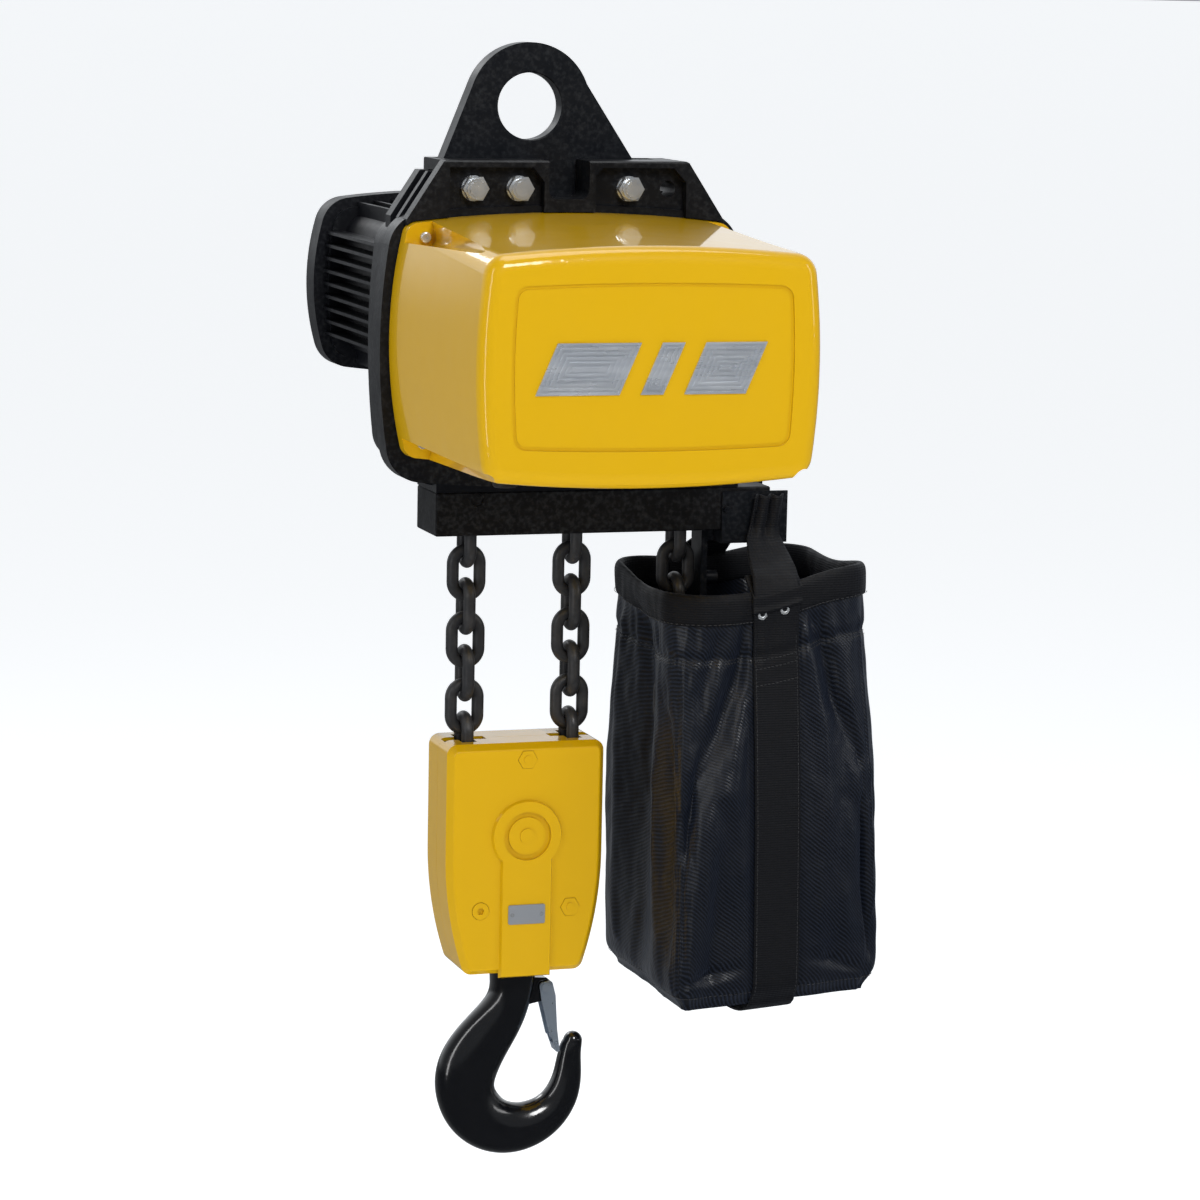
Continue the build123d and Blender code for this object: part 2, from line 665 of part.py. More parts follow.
# ---- hook block ----
BLOCK_BOLTS = ((0.0, -593.0), (43.0, -733.0), (-43.0, -733.0))


def block_outline(inset):
    """Front view of the block: straight sides that curve in to a narrower bottom."""
    w = BLOCK_HALF_W - inset
    top = BLOCK_TOP - inset
    low = BLOCK_BOTTOM + inset
    foot = 56 - inset
    edges = [
        Line((-w, top), (w, top)),
        Line((w, top), (w, -684)),
        ThreePointArc((w, -684), (w - 5, -740), (foot, low)),
        Line((foot, low), (-foot, low)),
        ThreePointArc((-foot, low), (-w + 5, -740), (-w, -684)),
        Line((-w, -684), (-w, top)),
    ]
    face = make_face(edges)
    corners = face.vertices().filter_by(lambda v: abs(v.Y - top) < 0.1 or abs(v.Y - low) < 0.1)
    return fillet(corners, 10 - min(inset, 6))


def block_shell(side):
    """Half of the block's casing; side is -1 at the front and 1 at the back."""
    y_out = side * BLOCK_HALF_Y
    y_in = side * 0.2
    half = prism(block_outline(0), y_in, y_out)
    outer_face = half.faces().sort_by(Axis.Y)[0 if side < 0 else -1]
    half = chamfer(outer_face.edges(), 7.5, 5.5)
    half = fillet(half.faces().sort_by(Axis.Y)[0 if side < 0 else -1].edges(), 3)
    y_face = side * (BLOCK_HALF_Y + RAISED)
    keyhole = Pos(0, PULLEY_Z) * Circle(34)
    keyhole += Pos(0, (PULLEY_Z + BLOCK_BOTTOM - 3) / 2) * Rectangle(50, PULLEY_Z - BLOCK_BOTTOM + 3)
    facing = Plane(origin=(0, y_out - side, 0), x_dir=(-side, 0, 0), z_dir=(0, side, 0))
    half += extrude(facing * (Sketch() + keyhole), amount=RAISED + 1, taper=22)
    room = prism(block_outline(SHELL_T), y_in - side, side * (BLOCK_HALF_Y - 4))
    room &= box(-80, 80, -60, 60, -736, BLOCK_TOP + 10)
    half -= room
    half -= box(-30, 30, -27.6, 27.6, -790.2, -730)
    half -= rod_z(0, 0, 22.5, -805, -780)
    half -= rod_y(0, PULLEY_Z, 22.6, y_face - side * 3.5, y_face + side)
    half -= rod_y(0, PULLEY_Z, 14.05, y_in - side, y_face + side)
    for x in (-FALL, FALL):
        half -= channel_z(x, BLOCK_TOP + 5, -720, 1.5)
    for x, z in BLOCK_BOLTS:
        half -= rod_y(x, z, 5 + GAP, y_in - side, y_face + side)
        half -= hex_y(x, z, 16.6, y_out - side * 4, y_out + side) if x >= 0 else \
            rod_y(x, z, 8.3, y_out - side * 4, y_out + side)
    return half


def block_bolts():
    """Three through bolts: hexagon ends on two of them, socket heads on the third."""
    pieces = []
    seat = BLOCK_HALF_Y - 3.9
    for x, z in BLOCK_BOLTS:
        pieces.append(rod_y(x, z, 5, -seat + 0.1, seat - 0.1))
        for side in (-1, 1):
            face = side * (BLOCK_HALF_Y + 0.6)
            if x >= 0:
                head = hex_y(x, z, 16, side * seat, face)
                head += rod_y(x, z, 3.8, side * seat, face + side * 0.8)
            else:
                head = rod_y(x, z, 7.9, side * seat, face) - hex_y(x, z, 6, face - side * 2.6, side * 60)
            pieces.append(head)
    return group(pieces)


def pulley_axle():
    y = BLOCK_HALF_Y - 0.2
    axle = rod_y(0, PULLEY_Z, 14, -y - 0.4, y + 0.4)
    for side in (-1, 1):
        axle += rod_y(0, PULLEY_Z, 17.5, side * (y + 0.5), side * (y + 2.2))
        axle += rod_y(0, PULLEY_Z, 7, side * (y + 2.1), side * (y + 3.4))
    return axle


def crosshead():
    body = box(-29.5, 29.5, -27.2, 27.2, -790, -768)
    return body - rod_z(0, 0, 16.2, -800, -760)


def thrust_bearing():
    race = rod_z(0, 0, 27, -767.8, -760) - rod_z(0, 0, 16.2, -780, -750)
    return race - (rod_z(0, 0, 30, -764.6, -763.2) - rod_z(0, 0, 24, -770, -750))


def rating_plate():
    y = -(BLOCK_HALF_Y + 3.5)
    plate = box(-17.5, 17.5, y - 1.1, y - 0.1, -746, -728)
    return fillet(plate.edges().filter_by(Axis.Y), 1.6)


def plate_rivets():
    y = -(BLOCK_HALF_Y + 3.5) - 1.1
    return group([rod_y(x, -737, 1.9, y - 1.0, y - 0.05) for x in (-14, 14)])


# ---- hook ----
# Each section: middle X and Z, heading of the bar in degrees, width in the plane, thickness.
HOOK_SECTIONS = (
    (0.5, -790.5, 270, 43.0, 42.0),
    (0.0, -806.0, 268, 42.5, 41.0),
    (-1.0, -817.0, 264, 41.0, 39.0),
    (-8.5, -838.0, 245, 44.0, 37.0),
    (-24.0, -860.0, 240, 52.0, 36.0),
    (-38.0, -881.0, 253, 58.0, 37.0),
    (-44.5, -905.0, 270, 57.0, 38.0),
    (-37.5, -929.0, 300, 55.0, 38.0),
    (-19.5, -946.0, 328, 52.0, 37.5),
    (4.0, -951.5, 355, 47.5, 36.0),
    (25.0, -946.5, 22, 42.0, 33.0),
    (41.5, -935.0, 45, 36.0, 29.0),
    (52.0, -918.0, 68, 31.0, 26.0),
    (56.0, -899.0, 86, 26.0, 22.5),
    (57.8, -881.0, 82, 21.5, 20.0),
    (60.4, -871.0, 80, 18.0, 17.5),
)


def hook():
    faces = []
    for x, z, deg, width, thick in HOOK_SECTIONS:
        along = (cos(radians(deg)), 0, sin(radians(deg)))
        across = (-along[2], 0, along[0])
        faces.append(Plane(origin=(x, 0, z), x_dir=across, z_dir=along) * Ellipse(width / 2, thick / 2))
    body = loft(faces)
    tip = HOOK_SECTIONS[-1]
    body += Pos(tip[0], 0, tip[1]) * Sphere(8.9)
    body += rod_z(0, 0, 16, -795, -738)
    lug = slab([(10, -806), (33, -808), (35, -820), (28, -830), (8, -834)], -4.5, 4.5)
    body += fillet(lug.edges().filter_by(Axis.Y), 3)
    return body - rod_y(*LATCH_PIVOT, 3.1, -10, 10)


LATCH_PIVOT = (31.0, -816.0)
LATCH_END = (43.0, -879.0)


def hook_nut():
    nut = hex_z(0, 0, 46, -759.6, -739)
    return nut - rod_z(0, 0, 16.02, -770, -730)


def latch():
    """Sheet-metal channel from the pivot to the inside of the hook's tip."""
    px, pz = LATCH_PIVOT
    ex, ez = LATCH_END
    length = hypot(ex - px, ez - pz)
    outline = [(-6, 5), (6.6, 5), (7.6, -10), (3.6, -length + 22), (2.4, -length), (-0.6, -length),
               (-2.8, -length + 14), (-4.2, -length + 16), (-6.5, -10)]
    body = extrude(at_y(8.2) * make_face(Polyline(*outline, close=True)), amount=16.4)
    body = fillet(body.edges().filter_by(Axis.Y).group_by(Axis.Z)[-1], 3.5)
    hollow = [(-12, 8), (5.2, 8), (6.2, -10), (2.2, -length + 22), (1.2, -length + 8), (-12, -length + 8)]
    body -= extrude(at_y(6.6) * make_face(Polyline(*hollow, close=True)), amount=13.2)
    body -= rod_y(0, 0, 3.1, -20, 20)
    turn = -degrees(atan2(ex - px, pz - ez))
    return Pos(px, 0, pz) * Rot(0, turn, 0) * body


def latch_pin():
    pin = rod_y(*LATCH_PIVOT, 3.0, -8.6, 8.6)
    for side in (-1, 1):
        pin += rod_y(*LATCH_PIVOT, 4.6, side * 8.5, side * 10.2)
    return pin


def latch_spring():
    x, z = LATCH_PIVOT
    pieces = []
    for side in (-1, 1):
        pieces.append(ring_y(x, z, 4.6, 3.2, side * 5.0, side * 6.3))
    return group(pieces)


# ---- chain bag ----
def chain_bag():
    x0, x1 = BAG_X
    outer = box(x0, x1, -BAG_HALF_Y, BAG_HALF_Y, BAG_BOTTOM, BAG_TOP)
    outer = fillet(outer.edges().filter_by(Axis.Z), 14)
    outer = fillet(outer.edges().group_by(Axis.Z)[0], 16)
    inner = box(x0 + 4, x1 - 4, -BAG_HALF_Y + 4, BAG_HALF_Y - 4, BAG_BOTTOM + 4, BAG_TOP + 1)
    inner = fillet(inner.edges().filter_by(Axis.Z), 10)
    return outer - fillet(inner.edges().group_by(Axis.Z)[0], 12)


STRAP_X = 213.0
STRAP_HALF = 22.0
STRAP_TOP = -352.0


def bag_straps():
    """One webbing strap at the front and one at the back, from the bracket down under the bag."""
    pieces = []
    y_bag = BAG_HALF_Y + GAP
    under_z = BAG_BOTTOM - GAP
    t = 2.6
    for side in (-1, 1):
        path = [(36, STRAP_TOP), (36, -386), (y_bag, BAG_TOP + 2), (y_bag, under_z)]
        back = [(y + t, z) for y, z in path]
        points = path + back[::-1]
        face = make_face(Polyline(*[(side * y, z) for y, z in points], close=True))
        plane = Plane(origin=(STRAP_X - STRAP_HALF, 0, 0), x_dir=(0, 1, 0), z_dir=(1, 0, 0))
        pieces.append(extrude(plane * face, amount=2 * STRAP_HALF))
    under = box(STRAP_X - STRAP_HALF, STRAP_X + STRAP_HALF, -y_bag - t, y_bag + t, under_z - t, under_z)
    return pieces[0] + pieces[1] + under


def bag_rivets():
    y = -(BAG_HALF_Y + GAP + 2.6)
    pieces = []
    for side in (-1, 1):
        for dx in (-11, 11):
            pieces.append(rod_y(STRAP_X - 4 + dx, -450.0, 4.2, side * (y - 2.2), side * (y - 0.1)))
    return group(pieces)


def bag_bracket():
    """Bent steel strap on the bar's end that carries the bag's cross bar."""
    outer = box(184, 248, -35.2, 35.2, -398, BAR_TOP - 4)
    inner = box(183, 249, -BAR_HALF_Y - GAP, BAR_HALF_Y + GAP, BAR_BOTTOM - GAP, BAR_TOP + 10)
    cheeks = outer - inner
    cheeks -= box(190, 242, -26, 26, -400, -380)
    hanger = box(172, 178, -14, 14, -452, BAR_BOTTOM - GAP) - rod_x(0, -434, 6.2, 170, 180)
    return cheeks + box(171.9, 190, -14, 14, -398, BAR_BOTTOM - GAP) + hanger


def bag_pins():
    pieces = [rod_x(0, -434, 6.0, 171.9, 192)]
    for side in (-1, 1):
        pieces.append(rod_y(187.8, -366, 2.8, side * 35.4, side * 39.4))
    return group(pieces)


def stored_chain():
    """The heap of slack chain in the bottom of the bag."""
    x0, x1 = BAG_X
    heap = box(x0 + 16, x1 - 16, -78, 78, BAG_BOTTOM + 6, BAG_BOTTOM + 96)
    return chamfer(heap.edges().group_by(Axis.Z)[-1], 26)


# ---- suspension fasteners ----
def suspension_bolts():
    return group([rod_y(x, BOLT_Z, BOLT_R, -55.5, 30) + hex_y(x, BOLT_Z, 21, 21.4, 30)
                  for x in BOLT_XS])


def suspension_nuts():
    pieces = []
    for x in BOLT_XS:
        nut = hex_y(x, BOLT_Z, 21, -50.5, -42.4)
        nut += rod_y(x, BOLT_Z, 9.3, -54.6, -50.4)
        nut -= rod_y(x, BOLT_Z, BOLT_R + 0.02, -60, -40)
        pieces.append(nut)
    return group(pieces)


def suspension_washers():
    return group([ring_y(x, BOLT_Z, 11.4, BOLT_R + 0.1, -42.3, NUT_SEAT - 0.1) for x in BOLT_XS])


# ---- chain runs ----
LEFT_FIRST = -424.0      # middle of a front-facing link on the dead-end fall
LOAD_FIRST = -423.0      # the same on the load fall
SLACK_FIRST = -424.0     # the same on the slack fall

save("suspension_plate", suspension_plate())
save("suspension_bolts", suspension_bolts())
save("suspension_nuts", suspension_nuts())
save("suspension_washers", suspension_washers())
save("mid_housing", mid_housing())
save("front_cover", front_cover())
save("cover_gasket", cover_gasket())
save("cover_screws", cover_screws())
save("emblem_bars", emblem_bars())
save("control_plate", control_plate())
save("contactors", contactors())
save("transformer", transformer())
save("terminal_block", terminal_block())
save("inlet_plugs", inlet_plugs())
save("gear_housing", gear_housing())
save("motor_housing", motor_housing())
save("stator", stator())
save("motor_shaft", motor_shaft())
save("rotor_core", rotor_core())
save("brake_coil", brake_coil())
save("brake_armature", brake_armature())
save("brake_disc", brake_disc())
save("end_shield", end_shield())
save("fan", fan())
save("fan_cover", fan_cover())
save("fan_cover_screws", fan_cover_screws())
save("first_gear_shaft", countershaft(1))
save("second_gear_shaft", countershaft(2))
save("load_shaft", load_shaft())
save("final_gear", final_gear())
save("shaft_bearings", shaft_bearings())
save("chain_wheel", pocket_wheel(*LOAD, SHAFT_R[3] + 0.02, 22, 108))
save("wheel_chain", wrap(*LOAD, 72, 3, False))
save("chain_bar", chain_bar())
save("bar_bolts", bar_bolts())
save("chain_anchor_pin", chain_anchor_pin())
save("dead_end_chain", strand(-FALL, LEFT_FIRST + 62, 9, False))
save("load_chain", strand(FALL, LOAD_FIRST + 31 * 5, 13, True))
save("slack_chain", strand(3 * FALL, SLACK_FIRST + 31 * 5, 11, True))
save("bag_bracket", bag_bracket())
save("bag_pins", bag_pins())
save("chain_bag", chain_bag())
save("bag_straps", bag_straps())
save("bag_rivets", bag_rivets())
save("stored_chain", stored_chain())
save("block_front_shell", block_shell(-1))
save("block_rear_shell", block_shell(1))
save("block_bolts", block_bolts())
save("pulley_axle", pulley_axle())
save("pulley", pocket_wheel(0, PULLEY_Z, 14 + RUN, 22, 270))
save("pulley_chain", wrap(0, PULLEY_Z, 234, 3, False))
save("crosshead", crosshead())
save("thrust_bearing", thrust_bearing())
save("rating_plate", rating_plate())
save("plate_rivets", plate_rivets())
save("hook", hook())
save("hook_nut", hook_nut())
save("latch", latch())
save("latch_pin", latch_pin())
save("latch_spring", latch_spring())
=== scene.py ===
import json
import math
import random

import bmesh
import bpy
from mathutils import Matrix, Vector, noise


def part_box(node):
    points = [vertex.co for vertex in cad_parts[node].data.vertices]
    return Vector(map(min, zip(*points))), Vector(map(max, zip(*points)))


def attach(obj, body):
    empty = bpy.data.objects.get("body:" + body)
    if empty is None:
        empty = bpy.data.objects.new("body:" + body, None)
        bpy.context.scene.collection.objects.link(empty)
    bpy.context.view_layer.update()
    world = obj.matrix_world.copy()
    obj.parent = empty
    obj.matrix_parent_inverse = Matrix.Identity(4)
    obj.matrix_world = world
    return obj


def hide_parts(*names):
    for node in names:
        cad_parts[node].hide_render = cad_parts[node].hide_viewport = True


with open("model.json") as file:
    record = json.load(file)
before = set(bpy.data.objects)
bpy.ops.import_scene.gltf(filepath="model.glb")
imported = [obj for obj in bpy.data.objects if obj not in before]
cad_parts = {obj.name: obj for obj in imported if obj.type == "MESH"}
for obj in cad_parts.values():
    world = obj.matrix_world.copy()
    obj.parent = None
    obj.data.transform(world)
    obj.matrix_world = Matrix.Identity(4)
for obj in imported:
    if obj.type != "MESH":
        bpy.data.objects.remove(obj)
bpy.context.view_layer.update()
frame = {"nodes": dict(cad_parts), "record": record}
NODES = frame["nodes"]
RECORD = frame["record"]

# ---------------------------------------------------------------- materials
WAVE_SCALE = 0.314159       # a wave texture of this scale repeats once a metre
FLAT_POINTINESS = 0.5       # what the geometry's pointiness is on a flat surface


class Mat:
    """A node material. Textures use object coordinates, which are metres in the shared frame."""

    def __init__(self, name, color, rough, metallic=0.0, coat=0.0, coat_rough=0.1, spec=0.5, sheen=0.0):
        self.material = bpy.data.materials.new(name)
        self.material.use_nodes = True
        self.tree = self.material.node_tree
        self.shader = self.tree.nodes["Principled BSDF"]
        self.set("Base Color", (*color, 1))
        self.set("Roughness", rough)
        self.set("Metallic", metallic)
        self.set("Coat Weight", coat)
        self.set("Coat Roughness", coat_rough)
        self.set("Specular IOR Level", spec)
        if sheen:
            self.set("Sheen Weight", sheen)
            self.set("Sheen Roughness", 0.5)
        self.coords = self.node("ShaderNodeTexCoord").outputs["Object"]

    def set(self, socket, value):
        self.shader.inputs[socket].default_value = value

    def node(self, kind, **settings):
        made = self.tree.nodes.new(kind)
        for key, value in settings.items():
            setattr(made, key, value)
        return made

    def link(self, a, b):
        self.tree.links.new(a, b)

    def math(self, operation, a, b=None):
        made = self.node("ShaderNodeMath", operation=operation)
        for socket, value in zip(made.inputs, (a, b)):
            if value is None:
                continue
            if isinstance(value, (int, float)):
                socket.default_value = value
            else:
                self.link(value, socket)
        return made.outputs[0]

    def stretched(self, scale):
        mapping = self.node("ShaderNodeMapping")
        mapping.inputs["Scale"].default_value = scale
        self.link(self.coords, mapping.inputs["Vector"])
        return mapping.outputs[0]

    def noise(self, scale, detail=3.0, rough=0.55, stretch=None):
        made = self.node("ShaderNodeTexNoise")
        made.inputs["Scale"].default_value = scale
        made.inputs["Detail"].default_value = detail
        made.inputs["Roughness"].default_value = rough
        self.link(self.stretched(stretch) if stretch else self.coords, made.inputs["Vector"])
        return made.outputs["Fac"]

    def waves(self, direction, period):
        """Straight ridges across X, Y or Z, one every period metres."""
        made = self.node("ShaderNodeTexWave", wave_type="BANDS", bands_direction=direction)
        made.inputs["Scale"].default_value = WAVE_SCALE / period
        self.link(self.coords, made.inputs["Vector"])
        return made.outputs["Fac"]

    def ramp(self, value, low, high, a=0.0, b=1.0):
        made = self.node("ShaderNodeMapRange")
        for socket, number in zip(("From Min", "From Max", "To Min", "To Max"), (low, high, a, b)):
            made.inputs[socket].default_value = number
        self.link(value, made.inputs["Value"])
        return made.outputs[0]

    def mix_color(self, value, other):
        """Blends the base colour towards another one by a 0 to 1 value."""
        made = self.node("ShaderNodeMix", data_type="RGBA")
        self.link(value, made.inputs["Factor"])
        current = self.shader.inputs["Base Color"]
        if current.is_linked:
            self.link(current.links[0].from_socket, made.inputs["A"])
        else:
            made.inputs["A"].default_value = current.default_value
        made.inputs["B"].default_value = (*other, 1)
        self.link(made.outputs["Result"], current)

    def roughness(self, value, low, high):
        self.link(self.ramp(value, 0.3, 0.7, low, high), self.shader.inputs["Roughness"])

    def bump(self, value, depth, strength=1.0):
        """Adds height in metres, on top of any bump already there."""
        made = self.node("ShaderNodeBump")
        made.inputs["Distance"].default_value = depth
        made.inputs["Strength"].default_value = strength
        self.link(value, made.inputs["Height"])
        current = self.shader.inputs["Normal"]
        if current.is_linked:
            self.link(current.links[0].from_socket, made.inputs["Normal"])
        self.link(made.outputs[0], current)

    def worn_edges(self, other, amount):
        """Shows another colour where the surface turns sharply."""
        pointiness = self.node("ShaderNodeNewGeometry").outputs["Pointiness"]
        grain = self.noise(260, 4)
        sharp = self.ramp(pointiness, FLAT_POINTINESS + 0.01, FLAT_POINTINESS + 0.06)
        edge = self.math("MULTIPLY", sharp, self.ramp(grain, 0.45, 0.7))
        self.mix_color(self.math("MULTIPLY", edge, amount), other)


def yellow_paint():
    m = Mat("yellow_paint", (0.70, 0.405, 0.0022), 0.36, coat=0.9, coat_rough=0.035, spec=0.14)
    m.bump(m.noise(500, 2), 0.00002, 0.3)
    m.roughness(m.noise(30, 4), 0.30, 0.38)
    m.mix_color(m.ramp(m.noise(9, 3), 0.35, 0.75, 0.0, 0.12), (0.66, 0.385, 0.005))
    return m.material


def black_paint(name, color, rough, grain=420, depth=0.00016, coat=0.0):
    m = Mat(name, color, rough, coat=coat, coat_rough=0.15, spec=0.2)
    m.bump(m.noise(grain, 4), depth, 0.5)
    m.roughness(m.noise(45, 4), rough - 0.06, rough + 0.08)
    m.mix_color(m.ramp(m.noise(22, 4), 0.4, 0.75, 0.0, 0.2), tuple(c * 1.4 + 0.001 for c in color))
    m.worn_edges((0.05, 0.053, 0.058), 0.3)
    return m.material


def forged_black():
    m = Mat("forged_black", (0.0045, 0.0050, 0.0065), 0.18, coat=0.9, coat_rough=0.06, spec=0.5)
    m.bump(m.noise(190, 4, 0.5), 0.00022, 0.45)
    m.bump(m.noise(900, 3), 0.00004, 0.4)
    m.roughness(m.noise(60, 4), 0.13, 0.26)
    return m.material


def chain_steel():
    m = Mat("chain_steel", (0.050, 0.051, 0.055), 0.40, metallic=0.5, spec=0.45)
    m.bump(m.noise(380, 5), 0.00015, 0.6)
    m.roughness(m.noise(90, 4), 0.34, 0.52)
    m.mix_color(m.ramp(m.noise(70, 5), 0.45, 0.75, 0.0, 0.5), (0.11, 0.105, 0.1))
    m.worn_edges((0.2, 0.2, 0.2), 0.5)
    return m.material


def plated(name, color, rough):
    m = Mat(name, color, rough, metallic=0.72)
    m.bump(m.noise(300, 2), 0.000008, 0.3)
    m.roughness(m.noise(120, 4), rough - 0.05, rough + 0.08)
    m.mix_color(m.ramp(m.noise(25, 3), 0.45, 0.8, 0.0, 0.2), tuple(c * 0.8 for c in color))
    return m.material


def milled_aluminium():
    m = Mat("milled_aluminium", (0.66, 0.70, 0.76), 0.28, metallic=0.65)
    m.bump(m.waves("Z", 0.0012), 0.00006, 0.4)
    m.roughness(m.noise(12, 3, stretch=(1, 1, 8)), 0.2, 0.36)
    m.mix_color(m.ramp(m.noise(14, 2, stretch=(1, 1, 6)), 0.4, 0.7, 0.0, 0.6), (0.93, 0.96, 1.0))
    return m.material


def brushed(name, color, rough, metallic=0.9):
    m = Mat(name, color, rough, metallic=metallic)
    m.bump(m.noise(60, 4, stretch=(1, 30, 1)), 0.0001, 0.5)
    m.roughness(m.noise(50, 4), rough - 0.08, rough + 0.1)
    return m.material


def plastic(name, color, rough):
    m = Mat(name, color, rough, spec=0.45)
    m.bump(m.noise(900, 3), 0.00006, 0.5)
    m.roughness(m.noise(60, 3), rough - 0.05, rough + 0.07)
    return m.material


TWILL_PERIOD = 0.0024
TWILL_TURN = math.radians(38)


def bag_fabric():
    """Dense nylon: a fine diagonal twill with a soft shine along its folds."""
    m = Mat("bag_fabric", (0.0022, 0.0029, 0.0052), 0.38, sheen=0.07, spec=0.45)
    m.set("Sheen Tint", (0.35, 0.42, 0.60, 1))
    turned = m.node("ShaderNodeMapping")
    turned.inputs["Rotation"].default_value = (TWILL_TURN, -TWILL_TURN, 0)
    m.link(m.coords, turned.inputs["Vector"])
    twill = m.node("ShaderNodeTexWave", wave_type="BANDS", bands_direction="Z")
    twill.inputs["Scale"].default_value = WAVE_SCALE / TWILL_PERIOD
    twill.inputs["Distortion"].default_value = 0.15
    m.link(turned.outputs[0], twill.inputs["Vector"])
    m.bump(twill.outputs["Fac"], 0.00018, 0.6)
    m.bump(m.noise(30, 5), 0.0030, 0.55)
    m.roughness(m.noise(18, 4), 0.31, 0.46)
    m.mix_color(m.ramp(twill.outputs["Fac"], 0.3, 0.95, 0.0, 0.8), (0.0110, 0.0165, 0.0310))
    return m.material


WEBBING_RIB = 0.0022        # spacing of the webbing's cross ribs


def webbing():
    m = Mat("webbing", (0.0030, 0.0034, 0.0052), 0.6, sheen=0.08, spec=0.22)
    m.set("Sheen Tint", (0.25, 0.27, 0.33, 1))
    m.bump(m.waves("Z", WEBBING_RIB), 0.0003, 0.7)
    m.bump(m.waves("X", 0.0035), 0.0002, 0.5)
    m.roughness(m.noise(60, 4), 0.52, 0.7)
    m.mix_color(m.ramp(m.waves("Z", WEBBING_RIB), 0.2, 0.9, 0.0, 0.6), (0.0075, 0.0085, 0.0115))
    return m.material


def thread():
    m = Mat("thread", (0.014, 0.015, 0.019), 0.6, sheen=0.2)
    m.bump(m.waves("Z", 0.0006), 0.0001, 0.5)
    return m.material


MATERIALS = {
    "yellow_paint": yellow_paint(),
    "black_cast": black_paint("black_cast", (0.0050, 0.0056, 0.0076), 0.34, grain=260, depth=0.0004),
    "black_fins": black_paint("black_fins", (0.0056, 0.0062, 0.0084), 0.38),
    "black_plate": black_paint("black_plate", (0.0048, 0.0060, 0.0088), 0.34, grain=700, depth=0.00006),
    "black_bar": black_paint("black_bar", (0.0036, 0.0038, 0.0050), 0.55, grain=700, depth=0.0001),
    "zinc_steel": plated("zinc_steel", (0.74, 0.77, 0.80), 0.2),
    "zinc_sheet": plated("zinc_sheet", (0.42, 0.49, 0.58), 0.3),
    "milled_aluminium": milled_aluminium(),
    "plate_aluminium": brushed("plate_aluminium", (0.34, 0.36, 0.39), 0.42, 0.35),
    "chain_steel": chain_steel(),
    "machine_steel": brushed("machine_steel", (0.45, 0.45, 0.47), 0.3),
    "forged_black": forged_black(),
    "lamination": brushed("lamination", (0.22, 0.22, 0.23), 0.45),
    "cast_iron": brushed("cast_iron", (0.15, 0.15, 0.15), 0.5),
    "coil_body": plastic("coil_body", (0.25, 0.08, 0.03), 0.35),
    "seal_rubber": plastic("seal_rubber", (0.012, 0.012, 0.012), 0.7),
    "grey_plastic": plastic("grey_plastic", (0.30, 0.31, 0.32), 0.5),
    "black_plastic": plastic("black_plastic", (0.015, 0.015, 0.016), 0.45),
    "bag_fabric": bag_fabric(),
    "webbing": webbing(),
}
THREAD = thread()

for part in RECORD["subparts"]:
    for slot in NODES[part["node"]].material_slots:
        slot.material = MATERIALS[part["material_slot"]]


# ---------------------------------------------------------------- meshes
def mesh_object(name, verts, faces, material, body):
    mesh = bpy.data.meshes.new(name)
    mesh.from_pydata([tuple(v) for v in verts], [], faces)
    mesh.update()
    bm = bmesh.new()
    bm.from_mesh(mesh)
    bmesh.ops.recalc_face_normals(bm, faces=bm.faces)
    bm.to_mesh(mesh)
    bm.free()
    for polygon in mesh.polygons:
        polygon.use_smooth = True
    mesh.materials.append(material)
    made = bpy.data.objects.new(name, mesh)
    bpy.context.collection.objects.link(made)
    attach(made, body)
    return made


def grid_faces(rows, columns, closed=False, first=0):
    """Quads of a grid whose rows are stored one after another."""
    faces = []
    for i in range(rows - 1):
        for j in range(columns if closed else columns - 1):
            k = (j + 1) % columns
            faces.append((first + i * columns + j, first + i * columns + k,
                          first + (i + 1) * columns + k, first + (i + 1) * columns + j))
    return faces


def solid(obj, thickness, offset=-1.0):
    """Gives an open surface its thickness: against its normals at -1, along them at 1."""
    shell = obj.modifiers.new("thickness", "SOLIDIFY")
    shell.thickness = thickness
    shell.offset = offset
    shell.use_even_offset = False


def mix(a, b, t):
    return a + (b - a) * t


def smooth(t):
    t = min(max(t, 0.0), 1.0)
    return t * t * (3 - 2 * t)


# ---------------------------------------------------------------- chain bag
STRAP_LOW, STRAP_HIGH = (Vector(v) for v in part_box("bag_straps"))
STRAP_X = (STRAP_LOW.x + STRAP_HIGH.x) / 2
STRAP_HALF = (STRAP_HIGH.x - STRAP_LOW.x) / 2
CORNER_STEPS = 22
SIDE_STEPS = 56
AROUND = 4 * (CORNER_STEPS + SIDE_STEPS)
CORNER_END = CORNER_STEPS / (CORNER_STEPS + SIDE_STEPS) / 2     # where a side's corner ends, as a place
DOWN = 150
FLOOR_RINGS = 22
# Heights of the rim and of the bottom seam at the corners: front left, front right, back right, back left.
RIM = (-0.440, -0.416, -0.422, -0.431)
FOOT = (-0.822, -0.811, -0.816, -0.822)
HEM_SAG = 0.006
BOTTOM_SAG = 0.010
# The outline's middle, half sizes and corner radius at the rim and at the foot.
TOP_X, FOOT_X = 0.2145, 0.2230
TOP_HALF_X, FOOT_HALF_X = 0.0960, 0.0980
TOP_HALF_Y, FOOT_HALF_Y = 0.1010, 0.1115
TOP_CORNER, FOOT_CORNER = 0.040, 0.017
CLOTH_T = 0.0018
STRAP_T = 0.0020
STRAP_LIFT = 0.0016         # how far the strap's modelled face lies off the cloth's

